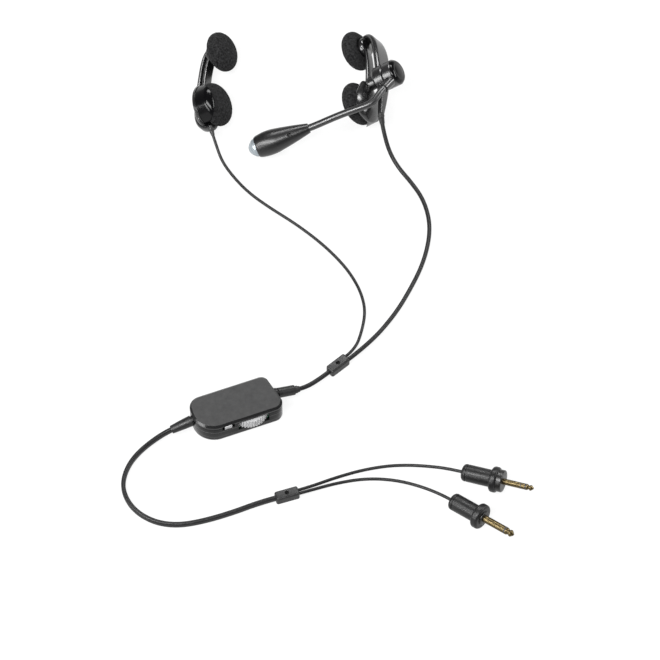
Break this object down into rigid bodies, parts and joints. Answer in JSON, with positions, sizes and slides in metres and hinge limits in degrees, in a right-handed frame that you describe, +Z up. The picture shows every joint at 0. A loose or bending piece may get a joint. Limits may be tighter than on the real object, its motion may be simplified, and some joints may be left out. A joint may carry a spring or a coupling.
{
  "type": "aviation headset",
  "caption": "Headset without a headband: foam-padded ear units, a swinging boom microphone, a control module with wheel and slider, and separate phone and microphone plugs.",
  "frame": {"origin": "centre of the control module's underside, on the surface that the headset lies on", "axes": "+Z up; +Y from the control module towards the ear units; +X towards the plugs"},
  "size_m": [0.3492, 0.5233, 0.055],
  "materials": {
    "gloss_black": "polished moulded plastic",
    "matte_grey": "fine matte moulded lid",
    "grip_grey": "matte moulded grip",
    "foam": "open-cell foam",
    "rubber_black": "smooth flexible rubber",
    "silver": "satin silver",
    "gold": "gold-plated contact",
    "steel": "plain steel fastener",
    "board_green": "printed circuit board",
    "inner_black": "unpolished inner moulding",
    "driver_metal": "speaker basket and magnet"
  },
  "bodies": {
    "headset": {"left_ear_frame": "gloss_black", "left_lower_foam": "foam", "left_upper_foam": "foam", "left_driver_cup": "inner_black", "left_driver": "driver_metal", "left_upper_pad_core": "gloss_black", "left_cord_relief": "rubber_black", "right_ear_frame": "gloss_black", "right_lower_foam": "foam", "right_upper_foam": "foam", "right_driver_cup": "inner_black", "right_driver": "driver_metal", "right_upper_pad_core": "gloss_black", "right_cord_relief": "rubber_black", "left_outer_bow": "gloss_black", "boom_housing": "gloss_black", "boom_friction_washer": "inner_black", "boom_retaining_washer": "steel", "boom_pivot_screw": "steel", "module_base": "gloss_black", "module_cover": "matte_grey", "module_screws": "steel", "circuit_board": "board_green", "wheel_potentiometer": "inner_black", "slide_switch": "inner_black", "trunk_relief": "rubber_black", "main_relief": "rubber_black", "upper_y_block": "rubber_black", "lower_y_block": "rubber_black", "mic_plug_grip": "grip_grey", "mic_plug_collar": "grip_grey", "mic_plug_sleeve": "gold", "mic_plug_ring": "gold", "mic_plug_tip": "gold", "mic_plug_insulators": "inner_black", "phone_plug_grip": "grip_grey", "phone_plug_collar": "grip_grey", "phone_plug_sleeve": "gold", "phone_plug_tip": "gold", "phone_plug_insulator": "inner_black", "left_ear_cord": "rubber_black", "right_ear_cord": "rubber_black", "trunk_cord": "rubber_black", "main_cord": "rubber_black", "mic_plug_cord": "rubber_black", "phone_plug_cord": "rubber_black"},
    "boom": {"boom_collar": "gloss_black", "boom_pivot_cap": "gloss_black", "boom_tube": "rubber_black", "mic_shell": "gloss_black", "mic_carrier": "rubber_black", "mic_capsule": "driver_metal", "mic_end_cap": "silver"},
    "wheel": {"volume_wheel": "silver"},
    "slider": {"mute_slider": "silver"}
  },
  "joints": [
    {"name": "boom_swing", "type": "hinge", "parent": "headset", "child": "boom", "pos_m": [0.13547, 0.33246, 0.04267], "axis": [-0.7983, -0.0255, -0.6017], "range_deg": [0, 105]},
    {"name": "wheel_turn", "type": "hinge", "parent": "headset", "child": "wheel", "pos_m": [0.00962, 0.00005, 0.013], "axis": [0, 0, 1], "range_deg": [-135, 135]},
    {"name": "slider_slide", "type": "slide", "parent": "headset", "child": "slider", "axis": [0.9336, 0.3584, 0], "range_m": [-0.002, 0.002]}
  ]
}
